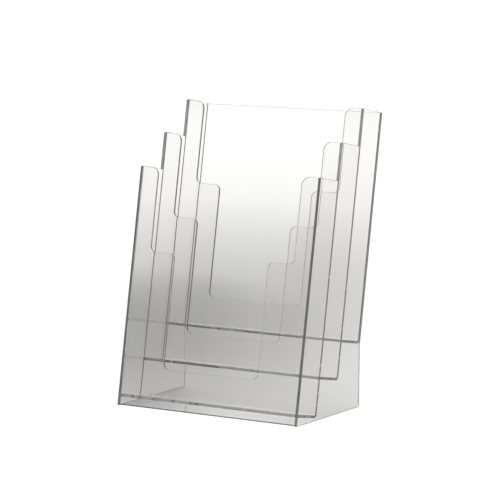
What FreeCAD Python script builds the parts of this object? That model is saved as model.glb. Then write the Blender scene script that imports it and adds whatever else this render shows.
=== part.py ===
import FreeCAD
import Part

import math
import os

# A free-standing rack with three stepped pockets, cemented together from clear plastic sheet.
#
# Millimetres, +Z up. The front faces -Y, and X runs across the width. The origin is on the
# surface that the rack stands on, at the middle of its bounding box.
#
# The rack leans back, so its outlines are drawn on two axes that lean with it: "along" runs
# back at a right angle to the walls, from the front panel's outer face, and "up" runs up the
# walls, from the underside of the lowest floor.

# Whole rack
outer_width = 236.0          # over both side plates
sheet = 3.0                  # thickness of every sheet
lean = 10.0                  # degrees that the walls lean back from upright
base_height = 10.0           # underside of the lowest floor, at the front, above the table
pocket_count = 3
pocket_pitch = 41.5          # from one wall's front face to the next one's
pocket_step = 43.0           # rise from one floor to the next
wall_height = 264.0          # from a pocket's floor to the top of the wall in front of it
glue_gap = 0.1               # cement line left between two sheets

# Cut-out in the front of each pocket, with widths measured from the rack's outer side
narrow_lip = 24.0            # lip left beside the upper, wide part of the cut-out
wide_lip = 56.5              # lip left beside the lower, narrow part
ledge_height = 167.0         # where the two parts meet, above the floor's underside
low_front = 36.0             # front that is left below the cut-out, above the floor's underside
lip_radius = 10.0            # top corner of each lip
cutout_radius = 7.0          # every other corner of the cut-out

# Rounding
bend_radius = 2.0            # inside of the bend between a floor and the wall behind it
plate_radius = 1.5           # outer corners of the side plates
edge_break = 0.25            # polished arris on the edges that a hand meets

lean_angle = math.radians(lean)
plate_inside = outer_width / 2 - sheet
sheet_half_width = plate_inside - glue_gap
top_height = (pocket_count - 1) * pocket_step + wall_height
plate_depth = pocket_count * pocket_pitch + sheet

# The bounding box runs from the foot of the front edge to the top of the rear edge
foot_y = -base_height * math.tan(lean_angle)
rear_y = plate_depth * math.cos(lean_angle) + top_height * math.sin(lean_angle)
shift_y = -(foot_y + rear_y) / 2


def place(x, along, up):
    """A point given on the leaning axes, in the rack's own frame."""
    y = shift_y + along * math.cos(lean_angle) + up * math.sin(lean_angle)
    z = base_height + up * math.cos(lean_angle) - along * math.sin(lean_angle)
    return FreeCAD.Vector(x, y, z)


def rounded_outline(corners):
    """A closed wire through corners, each a point with the radius of the arc that rounds it."""
    runs = []
    for index, (point, radius) in enumerate(corners):
        before = corners[index - 1][0]
        after = corners[(index + 1) % len(corners)][0]
        if radius == 0:
            runs.append((point, point, None))
            continue
        back = (before - point).normalize()
        ahead = (after - point).normalize()
        half_turn = back.getAngle(ahead) / 2
        reach = radius / math.tan(half_turn)
        bisector = (back + ahead).normalize()
        middle = point + bisector * (radius / math.sin(half_turn) - radius)
        runs.append((point + back * reach, point + ahead * reach, middle))
    edges = []
    for index, (start, end, middle) in enumerate(runs):
        if middle is not None:
            edges.append(Part.Arc(start, middle, end).toShape())
        edges.append(Part.LineSegment(end, runs[(index + 1) % len(runs)][0]).toShape())
    return Part.Wire(edges)


def slab(corners, thickness):
    """A solid that stands on a rounded outline and is as thick as the vector says."""
    return Part.Face(rounded_outline(corners)).extrude(thickness)


def break_edges(solid, wanted):
    """Take the sharpness off each edge that wanted accepts."""
    return solid.makeChamfer(edge_break, [edge for edge in solid.Edges if wanted(edge)])


def wall_position(point):
    """How far along and up the leaning axes a point lies."""
    y = point.y - shift_y
    z = point.z - base_height
    along = y * math.cos(lean_angle) - z * math.sin(lean_angle)
    up = y * math.sin(lean_angle) + z * math.cos(lean_angle)
    return along, up


def cut_out(wall_face, floor_up):
    """The stepped U taken out of a wall: wall_face is how far along its front face is."""
    narrow_x = outer_width / 2 - narrow_lip
    wide_x = outer_width / 2 - wide_lip
    top = floor_up + wall_height
    ledge = floor_up + ledge_height
    bottom = floor_up + low_front
    above = top + 2 * cutout_radius
    front = wall_face - sheet
    right_half = [
        (narrow_x + 3 * cutout_radius, above, 0),
        (narrow_x + 3 * cutout_radius, top, 0),
        (narrow_x, top, lip_radius),
        (narrow_x, ledge, cutout_radius),
        (wide_x, ledge, cutout_radius),
        (wide_x, bottom, cutout_radius),
    ]
    left_half = [(-x, up, radius) for x, up, radius in reversed(right_half)]
    corners = [(place(x, front, up), radius) for x, up, radius in right_half + left_half]
    through = place(0, 3 * sheet, 0) - place(0, 0, 0)
    return slab(corners, through)


def polish_cut_out(solid, floor_up):
    """Break the sharp edges round the cut-out and along the top of the lips."""
    inside = sheet_half_width - cutout_radius / 2

    def on_cut_out(edge):
        middle = edge.valueAt((edge.FirstParameter + edge.LastParameter) / 2)
        joins_the_faces = edge.Length < 1.1 * sheet
        above_low_front = wall_position(middle)[1] > floor_up + low_front - edge_break
        return above_low_front and abs(middle.x) < inside and not joins_the_faces
    return break_edges(solid, on_cut_out)


def make_side_plate(side):
    """One stepped plate: side is -1 on the left and +1 on the right."""
    face_x = side * plate_inside
    corners = [(FreeCAD.Vector(face_x, shift_y + foot_y, 0), 0)]
    for index in range(pocket_count):
        along = index * pocket_pitch
        up = index * pocket_step + wall_height
        if index > 0:
            corners.append((place(face_x, along, up - pocket_step), 0))
        corners.append((place(face_x, along, up), plate_radius))
    corners.append((place(face_x, plate_depth, top_height), plate_radius))
    knee = place(face_x, plate_depth, (pocket_count - 1) * pocket_step)
    corners.append((knee, 0))
    corners.append((FreeCAD.Vector(face_x, knee.y, 0), 2 * plate_radius))
    plate = slab(corners, FreeCAD.Vector(side * sheet, 0, 0))

    def on_outer_face(edge):
        middle = edge.valueAt((edge.FirstParameter + edge.LastParameter) / 2)
        return abs(abs(middle.x) - outer_width / 2) < 1e-6
    return break_edges(plate, on_outer_face)


def make_front_panel():
    """The foremost wall, which reaches down to the table and closes the front of the base."""
    bottom = (sheet * math.sin(lean_angle) - base_height) / math.cos(lean_angle)
    half = sheet_half_width
    points = [(-half, bottom), (half, bottom), (half, wall_height), (-half, wall_height)]
    corners = [(place(x, 0, up), 0) for x, up in points]
    panel = slab(corners, place(0, sheet, 0) - place(0, 0, 0))
    return polish_cut_out(panel.cut(cut_out(0, 0)), 0)


def make_pocket_sheet(index):
    """One bent sheet: the floor of a pocket and the wall behind it."""
    floor_up = index * pocket_step
    start = index * pocket_pitch + sheet + glue_gap
    wall_face = (index + 1) * pocket_pitch
    wall_back = wall_face + sheet
    is_last = index == pocket_count - 1
    top = top_height if is_last else floor_up + pocket_step + wall_height
    outline = [
        (start, floor_up, 0),
        (wall_back, floor_up, bend_radius + sheet),
        (wall_back, top, 0),
        (wall_face, top, 0),
        (wall_face, floor_up + sheet, bend_radius),
        (start, floor_up + sheet, 0),
    ]
    corners = [(place(-sheet_half_width, along, up), radius) for along, up, radius in outline]
    bent = slab(corners, FreeCAD.Vector(2 * sheet_half_width, 0, 0))
    if is_last:
        def on_top(edge):
            return all(wall_position(vertex.Point)[1] > top - 1e-6 for vertex in edge.Vertexes) \
                and edge.Length > 2 * sheet
        return break_edges(bent, on_top)
    next_floor = floor_up + pocket_step
    return polish_cut_out(bent.cut(cut_out(wall_face, next_floor)), next_floor)


pieces = {
    "side_plate_left": make_side_plate(-1),
    "side_plate_right": make_side_plate(1),
    "front_panel": make_front_panel(),
    "lower_pocket_sheet": make_pocket_sheet(0),
    "middle_pocket_sheet": make_pocket_sheet(1),
    "upper_pocket_sheet": make_pocket_sheet(2),
}

os.makedirs("parts", exist_ok=True)
for name, shape in pieces.items():
    shape.exportStep("parts/" + name + ".step")
    box = shape.BoundBox
    print(name, "valid", shape.isValid(), "solids", len(shape.Solids),
          "volume %.1f cm3" % (shape.Volume / 1000),
          "x %.1f..%.1f y %.1f..%.1f z %.1f..%.1f" % (box.XMin, box.XMax, box.YMin, box.YMax,
                                                      box.ZMin, box.ZMax))
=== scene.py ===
import math
import random

import bmesh
import bpy
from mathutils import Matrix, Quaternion, Vector


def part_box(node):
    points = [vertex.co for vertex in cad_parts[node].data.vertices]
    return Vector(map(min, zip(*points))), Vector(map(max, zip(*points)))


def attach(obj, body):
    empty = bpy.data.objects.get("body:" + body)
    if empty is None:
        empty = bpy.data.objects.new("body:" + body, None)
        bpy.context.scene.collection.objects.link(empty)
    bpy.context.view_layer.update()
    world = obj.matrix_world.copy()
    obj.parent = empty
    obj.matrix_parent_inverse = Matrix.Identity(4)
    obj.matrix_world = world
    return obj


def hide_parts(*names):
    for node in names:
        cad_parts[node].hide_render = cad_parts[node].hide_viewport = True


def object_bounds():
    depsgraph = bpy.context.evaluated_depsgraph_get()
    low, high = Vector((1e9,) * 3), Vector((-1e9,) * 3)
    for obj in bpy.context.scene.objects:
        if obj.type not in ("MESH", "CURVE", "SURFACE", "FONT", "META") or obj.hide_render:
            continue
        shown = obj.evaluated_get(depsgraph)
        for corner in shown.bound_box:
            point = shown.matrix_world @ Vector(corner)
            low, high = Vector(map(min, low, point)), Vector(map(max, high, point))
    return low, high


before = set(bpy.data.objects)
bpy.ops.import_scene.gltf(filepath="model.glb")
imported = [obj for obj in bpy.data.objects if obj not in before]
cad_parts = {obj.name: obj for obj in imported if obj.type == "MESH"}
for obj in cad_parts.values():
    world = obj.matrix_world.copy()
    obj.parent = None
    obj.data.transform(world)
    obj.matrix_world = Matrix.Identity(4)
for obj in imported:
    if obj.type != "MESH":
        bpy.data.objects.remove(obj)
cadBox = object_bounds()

mm = 0.001       # every length below is in metres
near = 0.1 * mm  # places closer than this count as the same

print("camera")
shot = {"azimuth": 30.95, "elevation": 7.39, "distance": 3.003, "roll": 0.47, "lens": 190.02,
        "aim": (0.03 * mm, 0.27 * mm, 176.5 * mm), "farthest": 100}


def addCamera():
    azimuth, elevation = math.radians(shot["azimuth"]), math.radians(shot["elevation"])
    back = Vector((math.sin(azimuth) * math.cos(elevation),
                   -math.cos(azimuth) * math.cos(elevation), math.sin(elevation)))
    bpy.ops.object.camera_add(location=Vector(shot["aim"]) + back * shot["distance"])
    camera = bpy.context.object
    level = (-back).to_track_quat("-Z", "Y")
    tipped = Quaternion((0, 0, 1), math.radians(shot["roll"]))
    camera.rotation_euler = (level @ tipped).to_euler()
    camera.data.lens = shot["lens"]
    camera.data.clip_end = shot["farthest"]
    bpy.context.scene.camera = camera


addCamera()

print("finishes")


def newFinish(name):
    finish = bpy.data.materials.new(name)
    finish.use_nodes = True
    nodes, links = finish.node_tree.nodes, finish.node_tree.links
    return finish, nodes, links, nodes["Principled BSDF"]


def objectPattern(nodes, links, stretch):  # coordinates on the piece, stretched along one axis
    place = nodes.new("ShaderNodeTexCoord")
    mapping = nodes.new("ShaderNodeMapping")
    mapping.inputs["Scale"].default_value = stretch
    links.new(place.outputs["Object"], mapping.inputs["Vector"])
    return mapping.outputs["Vector"]


clearSheet = {
    "tint": (0.985, 0.982, 0.972), "ior": 1.49,
    "waviness": 0.10, "swellDetail": 1.5, "swellHeight": 0.4 * mm,
    "haze": 0.012, "hairlines": 0.035, "hairShare": (0.60, 0.78),
    "hairStretch": (900, 900, 60), "hairDetail": 4.0, "hairCurl": 0.6,
}


def clearFinish(name, drawn):  # drawn squeezes the swell along X, Y and Z
    finish, nodes, links, shader = newFinish(name)
    shader.inputs["Base Color"].default_value = (*clearSheet["tint"], 1)
    shader.inputs["IOR"].default_value = clearSheet["ior"]
    shader.inputs["Transmission Weight"].default_value = 1.0

    wave = nodes.new("ShaderNodeTexNoise")  # slow swell left in the sheet by its rollers
    wave.inputs["Scale"].default_value = 1.0
    wave.inputs["Detail"].default_value = clearSheet["swellDetail"]
    links.new(objectPattern(nodes, links, drawn), wave.inputs["Vector"])
    swell = nodes.new("ShaderNodeBump")
    swell.inputs["Strength"].default_value = clearSheet["waviness"]
    swell.inputs["Distance"].default_value = clearSheet["swellHeight"]
    links.new(wave.outputs["Fac"], swell.inputs["Height"])
    links.new(swell.outputs["Normal"], shader.inputs["Normal"])

    hairs = nodes.new("ShaderNodeTexNoise")  # wiping marks and a trace of haze
    hairs.inputs["Scale"].default_value = 1.0
    hairs.inputs["Detail"].default_value = clearSheet["hairDetail"]
    hairs.inputs["Distortion"].default_value = clearSheet["hairCurl"]
    links.new(objectPattern(nodes, links, clearSheet["hairStretch"]), hairs.inputs["Vector"])
    marks = nodes.new("ShaderNodeMapRange")
    marks.inputs["From Min"].default_value = clearSheet["hairShare"][0]
    marks.inputs["From Max"].default_value = clearSheet["hairShare"][1]
    marks.inputs["To Min"].default_value = clearSheet["haze"]
    marks.inputs["To Max"].default_value = clearSheet["haze"] + clearSheet["hairlines"]
    links.new(hairs.outputs["Fac"], marks.inputs["Value"])
    links.new(marks.outputs["Result"], shader.inputs["Roughness"])
    return finish


edgeWork = {
    "cloudScale": 90.0, "cloudDetail": 3.0, "cloudShare": (0.35, 0.65), "darkest": 0.82,
    "sawScale": 1600.0, "sawDetail": 2.0, "sawHeight": 0.05 * mm, "roughnessSpread": (0.7, 1.4),
}


def edgeFinish(name, tint, clear, roughness, sawMarks):
    finish, nodes, links, shader = newFinish(name)
    shader.inputs["IOR"].default_value = clearSheet["ior"]
    shader.inputs["Transmission Weight"].default_value = clear
    cloud = nodes.new("ShaderNodeTexNoise")  # uneven tone along the edge
    cloud.inputs["Scale"].default_value = edgeWork["cloudScale"]
    cloud.inputs["Detail"].default_value = edgeWork["cloudDetail"]
    links.new(objectPattern(nodes, links, (1, 1, 1)), cloud.inputs["Vector"])
    tone = nodes.new("ShaderNodeValToRGB")
    dark, light = tone.color_ramp.elements
    dark.position, light.position = edgeWork["cloudShare"]
    dark.color = (*[part * edgeWork["darkest"] for part in tint], 1)
    light.color = (*tint, 1)
    links.new(cloud.outputs["Fac"], tone.inputs["Fac"])
    links.new(tone.outputs["Color"], shader.inputs["Base Color"])
    saw = nodes.new("ShaderNodeTexNoise")  # fine marks of the saw and the polishing wheel
    saw.inputs["Scale"].default_value = edgeWork["sawScale"]
    saw.inputs["Detail"].default_value = edgeWork["sawDetail"]
    links.new(objectPattern(nodes, links, (1, 1, 1)), saw.inputs["Vector"])
    bump = nodes.new("ShaderNodeBump")
    bump.inputs["Strength"].default_value = sawMarks
    bump.inputs["Distance"].default_value = edgeWork["sawHeight"]
    links.new(saw.outputs["Fac"], bump.inputs["Height"])
    links.new(bump.outputs["Normal"], shader.inputs["Normal"])
    spread = nodes.new("ShaderNodeMapRange")
    spread.inputs["To Min"].default_value = roughness * edgeWork["roughnessSpread"][0]
    spread.inputs["To Max"].default_value = roughness * edgeWork["roughnessSpread"][1]
    links.new(cloud.outputs["Fac"], spread.inputs["Value"])
    links.new(spread.outputs["Result"], shader.inputs["Roughness"])
    return finish


sidePlateClear = clearFinish("sidePlateClear", (3, 5, 60))
flatSheetClear = clearFinish("flatSheetClear", (5, 3, 50))
bentSheetClear = clearFinish("bentSheetClear", (50, 4, 5))
polishedEdge = edgeFinish("polishedEdge", (0.52, 0.53, 0.53), 0.62, 0.10, 0.25)
flamedEdge = edgeFinish("flamedEdge", (0.74, 0.75, 0.75), 0.80, 0.06, 0.12)
sawnEdge = edgeFinish("sawnEdge", (0.17, 0.175, 0.175), 0.32, 0.30, 0.60)
wettedEdge = edgeFinish("wettedEdge", (0.60, 0.61, 0.61), 0.55, 0.20, 0.35)
setCement = edgeFinish("setCement", (0.97, 0.97, 0.95), 0.05, 0.35, 0.60)

print("sizes")
rack = {
    "lean": math.radians(10),
    "baseHeight": 10 * mm,       # underside of the lowest floor above the table, at the front
    "wallHeight": 264 * mm,      # from a floor's underside to the top of the wall in front of it
    "cementGap": 0.1 * mm,
    "pockets": 3,
    "outerWidth": cadBox[1][0] - cadBox[0][0],
}
cutOut = {
    "narrowLip": 24 * mm, "wideLip": 56.5 * mm,  # left beside it, from the rack's outer side
    "ledge": 167 * mm, "low": 36 * mm,           # heights above the floor's underside
    "lipRadius": 10 * mm, "radius": 7 * mm,      # top corner of each lip, and every other corner
}
sheetWork = {
    "cornerSteps": 10, "plateRadius": 1.5 * mm,
    "bendRadius": 5 * mm, "bendSteps": 10,  # outside of the bend under a pocket
    "footRound": 1.5 * mm, "footSteps": 5,  # lower front edge of the front panel
    "edgeBreak": 0.3 * mm, "edgeSteps": 3, "sharp": math.radians(40), "flatWeight": 60,
    "edgeReach": 0.5 * mm,                  # how far in from a sheet's end its edge faces reach
}


def readFrame():  # the rest of the sizes are the model's own
    plate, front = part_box("side_plate_right"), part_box("front_panel")
    rack["sheet"] = plate[1].x - plate[0].x
    rack["halfInside"] = front[1].x
    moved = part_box("middle_pocket_sheet")[1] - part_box("lower_pocket_sheet")[1]
    sine, cosine = math.sin(rack["lean"]), math.cos(rack["lean"])
    rack["pitch"] = moved.y * cosine - moved.z * sine
    rack["step"] = moved.y * sine + moved.z * cosine
    rack["bottom"] = (rack["sheet"] * sine - rack["baseHeight"]) / cosine
    rack["foot"] = Vector((0, front[0].y - rack["bottom"] * sine, rack["baseHeight"]))
    rack["depth"] = rack["pockets"] * rack["pitch"] + rack["sheet"]
    rack["knee"] = (rack["pockets"] - 1) * rack["step"]


readFrame()
print({name: round(size / mm, 3) for name, size in rack.items() if isinstance(size, float)})


def startPlane(name, width, height, middle, turn):
    bpy.ops.object.select_all(action="DESELECT")
    bpy.ops.mesh.primitive_plane_add(size=1, location=middle, rotation=turn)
    piece = bpy.context.object
    piece.name = piece.data.name = name
    piece.scale = (width, height, 1)
    bpy.ops.object.transform_apply(location=True, rotation=True, scale=True)
    bpy.ops.object.mode_set(mode="EDIT")
    return piece


def pick(piece, kind, wanted):  # select the parts whose middle wanted accepts
    bpy.ops.mesh.select_mode(type=kind)
    bpy.ops.mesh.select_all(action="DESELECT")
    mesh = bmesh.from_edit_mesh(piece.data)
    for part in {"VERT": mesh.verts, "EDGE": mesh.edges, "FACE": mesh.faces}[kind]:
        if kind == "FACE":
            middle = part.calc_center_median()
        elif kind == "EDGE":
            middle = (part.verts[0].co + part.verts[1].co) / 2
        else:
            middle = part.co
        part.select_set(bool(wanted(middle)))
    mesh.select_flush_mode()
    bmesh.update_edit_mesh(piece.data)


def score(middle, normal, **cleared):  # cut all faces along a plane
    bpy.ops.mesh.select_all(action="SELECT")
    bpy.ops.mesh.bisect(plane_co=middle, plane_no=normal, **cleared)


def roundCorner(piece, radius, wanted):
    pick(piece, "VERT", wanted)
    bpy.ops.mesh.bevel(offset=radius, offset_type="OFFSET", segments=sheetWork["cornerSteps"],
                       profile=0.5, affect="VERTICES")


def joinFaces():  # merge the scored faces that still lie in one plane
    bpy.ops.mesh.select_all(action="SELECT")
    bpy.ops.mesh.dissolve_limited(angle_limit=math.radians(1))


def leanBack(piece):  # pieces are made upright, then lean with the rack
    piece.rotation_euler.x = -rack["lean"]
    piece.location = rack["foot"]
    bpy.ops.object.transform_apply(location=True, rotation=True, scale=True)


def thicken(piece, face, edge):  # face and edge are the sheet's two finishes
    bpy.ops.object.mode_set(mode="OBJECT")
    piece.data.materials.append(face)
    piece.data.materials.append(edge)
    thick = piece.modifiers.new("thickness", "SOLIDIFY")
    thick.thickness = rack["sheet"]
    thick.offset = -1
    thick.use_even_offset = True
    thick.material_offset_rim = 1
    bpy.ops.object.modifier_apply(modifier="thickness")


def breakEdges(piece):
    broken = piece.modifiers.new("brokenEdges", "BEVEL")
    broken.width = sheetWork["edgeBreak"]
    broken.segments = sheetWork["edgeSteps"]
    broken.limit_method = "ANGLE"
    broken.angle_limit = sheetWork["sharp"]
    broken.material = 1
    flat = piece.modifiers.new("flatFaces", "WEIGHTED_NORMAL")
    flat.mode = "FACE_AREA"
    flat.weight = sheetWork["flatWeight"]
    bpy.ops.object.shade_smooth()
    for modifier in ("brokenEdges", "flatFaces"):
        bpy.ops.object.modifier_apply(modifier=modifier)


def coatEdge(piece, finish, wanted):  # another finish on the edge faces that wanted accepts
    piece.data.materials.append(finish)
    for face in piece.data.polygons:
        if face.material_index == 1 and wanted(face.center):
            face.material_index = len(piece.data.materials) - 1


print("side plates")


def sidePlate(name, side):
    pitch, step, top = rack["pitch"], rack["step"], rack["wallHeight"]
    depth, knee, lean = rack["depth"], rack["knee"], rack["lean"]
    full, spare = knee + top, 60 * mm
    piece = startPlane(name, full + spare, depth + spare,
                       (side * rack["outerWidth"] / 2, (depth + spare) / 2, (full - spare) / 2),
                       (0, side * math.pi / 2, 0))
    for line in (pitch, 2 * pitch, depth):
        score((0, line, 0), (0, 1, 0))
    for line in (top, top + step, knee):
        score((0, 0, line), (0, 0, 1))
    pick(piece, "FACE", lambda at: (at.y < pitch and at.z > top)
         or (at.y < 2 * pitch and at.z > top + step) or (at.y > depth and at.z > knee))
    bpy.ops.mesh.delete(type="FACE")
    score((0, 0, -rack["baseHeight"] / math.cos(lean)), (0, -math.sin(lean), math.cos(lean)),
          clear_inner=True)
    pick(piece, "FACE", lambda at: at.z < knee)
    bpy.ops.mesh.bisect(plane_co=(0, depth, knee), plane_no=(0, math.cos(lean), math.sin(lean)),
                        clear_outer=True)
    joinFaces()
    heel = max(corner.co.y for corner in bmesh.from_edit_mesh(piece.data).verts) - near
    roundCorner(piece, 2 * sheetWork["plateRadius"], lambda at: at.y > heel)
    tops = [Vector((0, index * pitch, top + index * step)) for index in range(rack["pockets"])]
    tops.append(Vector((0, depth, full)))
    roundCorner(piece, sheetWork["plateRadius"],
                lambda at: any((at - corner).yz.length < near for corner in tops))
    thicken(piece, sidePlateClear, polishedEdge)
    breakEdges(piece)
    leanBack(piece)
    return piece


sidePlates = {"side_plate_left": sidePlate("clear_side_left", -1),
              "side_plate_right": sidePlate("clear_side_right", 1)}

print("front panel and bent sheets")


def wall(name, back, bottom, top):
    return startPlane(name, 2 * rack["halfInside"], top - bottom, (0, back, (top + bottom) / 2),
                      (-math.pi / 2, 0, 0))


def cutFront(piece, floor):  # the stepped U, with every corner rounded
    narrow = rack["outerWidth"] / 2 - cutOut["narrowLip"]
    wide = rack["outerWidth"] / 2 - cutOut["wideLip"]
    ledge, low = floor + cutOut["ledge"], floor + cutOut["low"]
    top = floor + rack["wallHeight"]
    for line in (-narrow, -wide, wide, narrow):
        score((line, 0, 0), (1, 0, 0))
    for line in (ledge, low):
        score((0, 0, line), (0, 0, 1))
    pick(piece, "FACE", lambda at: (abs(at.x) < wide and at.z > low)
         or (abs(at.x) < narrow and at.z > ledge))
    bpy.ops.mesh.delete(type="FACE")
    joinFaces()
    for radius, corners in ((cutOut["lipRadius"], ((narrow, top),)),
                            (cutOut["radius"], ((narrow, ledge), (wide, ledge), (wide, low)))):
        roundCorner(piece, radius, lambda at: any(
            abs(abs(at.x) - x) < near and abs(at.z - z) < near for x, z in corners))


def frontPanel():
    piece = wall("clear_front", rack["sheet"], rack["bottom"], rack["wallHeight"])
    cutFront(piece, 0)
    thicken(piece, flatSheetClear, flamedEdge)
    bpy.ops.object.mode_set(mode="EDIT")
    pick(piece, "EDGE", lambda at: at.z < rack["bottom"] + near and at.y < near
         and abs(at.x) < rack["halfInside"] / 2)
    bpy.ops.mesh.bevel(offset=sheetWork["footRound"], offset_type="OFFSET",
                       segments=sheetWork["footSteps"], profile=0.5, affect="EDGES", material=1)
    bpy.ops.object.mode_set(mode="OBJECT")
    breakEdges(piece)
    coatEdge(piece, sawnEdge, lambda at: at.z < rack["bottom"] + sheetWork["footRound"]
             and at.y < rack["sheet"] / 2
             and abs(at.x) < rack["halfInside"] - sheetWork["edgeReach"])
    leanBack(piece)
    return piece


def pocketSheet(name, index):  # a pocket's floor and the wall behind it, bent from one sheet
    floor = index * rack["step"]
    back = (index + 1) * rack["pitch"] + rack["sheet"]
    start = index * rack["pitch"] + rack["sheet"] + rack["cementGap"]
    last = index == rack["pockets"] - 1
    top = (index if last else index + 1) * rack["step"] + rack["wallHeight"]
    piece = wall(name, back, floor, top)
    if not last:
        cutFront(piece, floor + rack["step"])
    pick(piece, "EDGE", lambda at: at.z < floor + near)
    bpy.ops.mesh.extrude_region_move(TRANSFORM_OT_translate={"value": (0, start - back, 0)})
    pick(piece, "EDGE", lambda at: at.z < floor + near and at.y > back - near)
    bpy.ops.mesh.bevel(offset=sheetWork["bendRadius"], offset_type="OFFSET",
                       segments=sheetWork["bendSteps"], profile=0.5, affect="EDGES")
    thicken(piece, bentSheetClear, flamedEdge)
    breakEdges(piece)
    coatEdge(piece, sawnEdge,
             lambda at: abs(at.x) > rack["halfInside"] - sheetWork["edgeReach"])
    coatEdge(piece, wettedEdge, lambda at: at.y < start + sheetWork["edgeReach"])
    leanBack(piece)
    return piece


frontSheets = {"front_panel": frontPanel()}
pocketSheets = {"lower_pocket_sheet": pocketSheet("clear_pocket_lower", 0),
                "middle_pocket_sheet": pocketSheet("clear_pocket_middle", 1),
                "upper_pocket_sheet": pocketSheet("clear_pocket_upper", 2)}

print("riding on the frame")
for sheets, slot in ((sidePlates, "clear_side_plate"), (frontSheets, "clear_flat_sheet"),
                     (pocketSheets, "clear_bent_sheet")):
    for node, piece in sheets.items():
        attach(piece, "root")
        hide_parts(node)

print("cement")
cement = {
    "film": 0.05 * mm, "seed": 7, "outline": 14, "unevenness": 0.10, "rim": 0.12,
    # stretches of each floor's front edge that the cement wetted: from and to, as shares of the
    # width, and how much of the edge's height they cover
    "wetted": (((0.004, 0.068, 0.95), (0.071, 0.104, 1.1), (0.107, 0.19, 0.9),
                (0.193, 0.30, 0.95), (0.303, 0.405, 1.0), (0.409, 0.43, 0.6),
                (0.69, 0.725, 1.1), (0.94, 0.996, 0.95)),
               ((0.004, 0.12, 0.85), (0.15, 0.17, 1.0), (0.43, 0.56, 0.8), (0.57, 0.59, 1.0),
                (0.86, 0.995, 0.85)),
               ((0.004, 0.06, 0.9), (0.27, 0.30, 1.0), (0.31, 0.47, 0.8), (0.78, 0.81, 1.0),
                (0.90, 0.995, 0.9))),
    # a drop that ran down below the lowest floor
    "runPlace": 0.38, "runSize": (1.0 * mm, 8.0 * mm), "runBelow": 0.5 * mm,
    # bubbles at the ends of the sheets: every third lies along the floor, the rest up the wall
    "specks": 9, "speckSize": (0.7 * mm, 1.9 * mm), "floorMargin": 4 * mm,
    "wallStart": 12 * mm, "wallReach": 240 * mm, "wallCrowding": 1.6,
    "floorShape": (1.0, 2.2), "wallShape": (2.5, 1.3), "tallest": 2.2 * mm,
}
chance = random.Random(cement["seed"])


def puddle(middle, turn, length, height):  # a thin patch of set cement with an uneven outline
    bpy.ops.object.select_all(action="DESELECT")
    bpy.ops.mesh.primitive_circle_add(vertices=cement["outline"], radius=0.5, fill_type="NGON",
                                      location=middle, rotation=turn)
    patch = bpy.context.object
    patch.scale = (length, height, 1)
    bpy.ops.object.transform_apply(location=True, rotation=True, scale=True)
    outward = patch.data.polygons[0].normal.copy()
    bpy.ops.object.mode_set(mode="EDIT")
    bpy.ops.mesh.select_all(action="SELECT")
    bpy.ops.transform.vertex_random(offset=cement["unevenness"] * min(length, height),
                                    seed=chance.randrange(1000))
    flat = [round(1 - abs(part)) for part in outward]  # 0 along the normal, 1 across it
    bpy.ops.transform.resize(value=flat, center_override=middle)
    bpy.ops.mesh.extrude_region_move(TRANSFORM_OT_translate={"value": outward * cement["film"]})
    bpy.ops.mesh.inset(thickness=cement["rim"] * min(length, height), depth=0.0)
    bpy.ops.mesh.select_all(action="SELECT")
    bpy.ops.mesh.normals_make_consistent(inside=False)
    bpy.ops.object.mode_set(mode="OBJECT")
    return patch


def joinPatches(name, patches):
    bpy.ops.object.select_all(action="DESELECT")
    for patch in patches:
        patch.select_set(True)
    bpy.context.view_layer.objects.active = patches[0]
    bpy.ops.object.join()
    seam = bpy.context.object
    seam.name = seam.data.name = name
    seam.data.materials.append(setCement)
    bpy.ops.object.shade_flat()
    leanBack(seam)
    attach(seam, "root")


def floorSeam(index):  # between the front edge of a floor and the wall in front of it
    clear = (rack["cementGap"] - cement["film"]) / 2
    along = index * rack["pitch"] + rack["sheet"] + clear
    up = index * rack["step"] + rack["sheet"] / 2
    width = 2 * rack["halfInside"]
    patches = []
    for first, last, cover in cement["wetted"][index]:
        middle = ((first + last) / 2 - 0.5) * width
        patches.append(puddle((middle, along, up), (-math.pi / 2, 0, 0), (last - first) * width,
                              cover * rack["sheet"]))
    if index == 0:
        sideways, (thin, drop) = (cement["runPlace"] - 0.5) * width, cement["runSize"]
        patches.append(puddle((sideways, along, -drop / 2 - cement["runBelow"]),
                              (-math.pi / 2, 0, 0), thin, drop))
    return patches


def endSpecks(index):  # between the ends of a bent sheet and the side plates
    clear = (rack["cementGap"] - cement["film"]) / 2
    floor = index * rack["step"]
    front, back = index * rack["pitch"] + rack["sheet"], (index + 1) * rack["pitch"]
    patches = []
    for side in (-1, 1):
        x = side * (rack["halfInside"] + clear)
        for speck in range(cement["specks"]):
            size = chance.uniform(*cement["speckSize"])
            if speck % 3 == 0:
                along = chance.uniform(front + cement["floorMargin"], back - cement["floorMargin"])
                up = floor + rack["sheet"] / 2
                length, height = (size * part for part in cement["floorShape"])
            else:
                along = back + rack["sheet"] / 2
                climb = chance.random() ** cement["wallCrowding"]
                up = floor + cement["wallStart"] + cement["wallReach"] * climb
                length, height = (size * part for part in cement["wallShape"])
                height = min(height, cement["tallest"])
            patches.append(puddle((x, along, up), (0, side * math.pi / 2, 0), length, height))
    return patches


for index, pocket in enumerate(("lower", "middle", "upper")):
    joinPatches("cement_" + pocket, floorSeam(index) + endSpecks(index))

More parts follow.
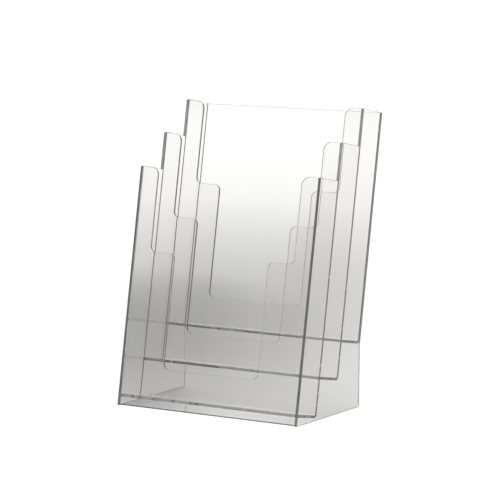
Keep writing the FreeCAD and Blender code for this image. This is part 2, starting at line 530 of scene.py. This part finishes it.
print("studio")
studio = {
    "floorSize": 60.0, "floorBelow": 0.2 * mm, "floorTint": (0.34, 0.34, 0.335),
    "floorRoughness": 0.6,
    "floorGlow": 0.45, "glowTint": (1, 1, 0.99),  # light that comes up through the white table top
    # painted light and shade on the floor: ovals where the glow is stronger (a painted pool of
    # light in front of the rack) and weaker (painted shadow behind the rack, on its left); it
    # fades in from an oval's rim at 0 to its middle at 1, and reaches the whole amount at "full"
    "paintedLightAndShade": (
        # painted pool of light along the front of the rack
        {"change": "ADD", "amount": 0.31, "place": (0.05, -0.092), "size": (0.19, 0.07),
         "turn": 0.0, "full": 1.0},
        # painted shadow behind the rack, on its left
        {"change": "SUBTRACT", "amount": 0.30, "place": (-0.50, 0.75), "size": (1.25, 0.62),
         "turn": 2.12, "full": 1.0},
        # painted shadow close behind the rack, on its left
        {"change": "SUBTRACT", "amount": 0.28, "place": (-0.56, 0.24), "size": (0.75, 0.50),
         "turn": 2.12, "full": 0.5},
    ),
    "paper": 1.12, "burnOut": 0.85,  # the white that the table burns out to, and how far it does
    "skyStrength": 1.0,
    # brightness of the sky by height, from the horizon at 0 to straight up at 1
    "sky": ((0.0, 0.55), (0.07, 0.55), (0.16, 0.30), (0.62, 0.30), (0.82, 1.0), (1.0, 1.0)),
    "bounces": 24, "glossyBounces": 12,
}
keyLight = {"place": (1.5, -1.1, 1.9), "aim": (0, 0, 0.17), "size": (0.9, 0.9), "power": 12.0}
backgroundLight = {"place": (-1.9, 3.35, 1.7), "aim": (-1.9, 3.35, 0), "size": (5.0, 2.4),
                   "power": 94.0}


def paintedFloorPatch(nodes, links, oval):  # a painted patch on the floor's glow, light where it is added and shade where it is taken away: the whole amount in its middle, nothing outside it
    place = nodes.new("ShaderNodeTexCoord")
    laid = nodes.new("ShaderNodeMapping")
    laid.vector_type = "TEXTURE"
    laid.inputs["Location"].default_value = (*oval["place"], 0)
    laid.inputs["Rotation"].default_value = (0, 0, oval["turn"])
    laid.inputs["Scale"].default_value = (*oval["size"], 1)
    links.new(place.outputs["Object"], laid.inputs["Vector"])
    inward = nodes.new("ShaderNodeTexGradient")
    inward.gradient_type = "SPHERICAL"
    links.new(laid.outputs["Vector"], inward.inputs["Vector"])
    amount = nodes.new("ShaderNodeMapRange")
    amount.inputs["From Max"].default_value = oval["full"]
    amount.inputs["To Max"].default_value = oval["amount"]
    links.new(inward.outputs["Fac"], amount.inputs["Value"])
    return amount.outputs["Result"]


def addFloor():
    bpy.ops.object.select_all(action="DESELECT")
    bpy.ops.mesh.primitive_plane_add(size=studio["floorSize"],
                                     location=(0, 0, -studio["floorBelow"]))
    floor = bpy.context.object
    floor.name = "studio_floor"
    paint, nodes, links, shader = newFinish("studioFloor")
    shader.inputs["Base Color"].default_value = (*studio["floorTint"], 1)
    shader.inputs["Roughness"].default_value = studio["floorRoughness"]
    shader.inputs["Emission Color"].default_value = (*studio["glowTint"], 1)
    glow = nodes.new("ShaderNodeValue").outputs[0]
    glow.default_value = studio["floorGlow"]
    # the painted pool of light is added to the glow and the painted shadows are taken away from it
    for oval in studio["paintedLightAndShade"]:
        changed = nodes.new("ShaderNodeMath")
        changed.operation = oval["change"]
        links.new(glow, changed.inputs[0])
        links.new(paintedFloorPatch(nodes, links, oval), changed.inputs[1])
        glow = changed.outputs[0]
    links.new(glow, shader.inputs["Emission Strength"])
    white = nodes.new("ShaderNodeEmission")
    white.inputs["Strength"].default_value = studio["paper"]
    rays = nodes.new("ShaderNodeLightPath")
    share = nodes.new("ShaderNodeMath")
    share.operation = "MULTIPLY"
    share.inputs[1].default_value = studio["burnOut"]
    links.new(rays.outputs["Is Camera Ray"], share.inputs[0])
    both = nodes.new("ShaderNodeMixShader")
    links.new(share.outputs[0], both.inputs["Fac"])
    links.new(shader.outputs[0], both.inputs[1])
    links.new(white.outputs[0], both.inputs[2])
    links.new(both.outputs[0], nodes["Material Output"].inputs["Surface"])
    floor.data.materials.append(paint)


def addSky():
    world = bpy.data.worlds.new("studioSky")
    bpy.context.scene.world = world
    world.use_nodes = True
    nodes, links = world.node_tree.nodes, world.node_tree.links
    direction = nodes.new("ShaderNodeTexCoord")
    split = nodes.new("ShaderNodeSeparateXYZ")
    ramp = nodes.new("ShaderNodeValToRGB")
    links.new(direction.outputs["Generated"], split.inputs[0])
    links.new(split.outputs["Z"], ramp.inputs[0])
    stops = ramp.color_ramp.elements
    while len(stops) < len(studio["sky"]):
        stops.new(0.5)
    for stop, (height, grey) in zip(stops, studio["sky"]):
        stop.position = height
        stop.color = (grey, grey, grey, 1)
    links.new(ramp.outputs[0], nodes["Background"].inputs["Color"])
    nodes["Background"].inputs["Strength"].default_value = studio["skyStrength"]


def addSoftbox(name, light):
    bpy.ops.object.light_add(type="AREA", location=light["place"])
    lamp = bpy.context.object
    lamp.name = name
    lamp.data.shape = "RECTANGLE"
    lamp.data.size, lamp.data.size_y = light["size"]
    lamp.data.energy = light["power"]
    ahead = Vector(light["aim"]) - Vector(light["place"])
    lamp.rotation_euler = ahead.to_track_quat("-Z", "Y").to_euler()


addFloor()
addSky()
addSoftbox("key_light", keyLight)
addSoftbox("background_light", backgroundLight)
scene = bpy.context.scene
scene.view_settings.view_transform = "Standard"
scene.cycles.max_bounces = studio["bounces"]  # light crosses many clear sheets before it is seen
scene.cycles.transmission_bounces = studio["bounces"]
scene.cycles.transparent_max_bounces = studio["bounces"]
scene.cycles.glossy_bounces = studio["glossyBounces"]
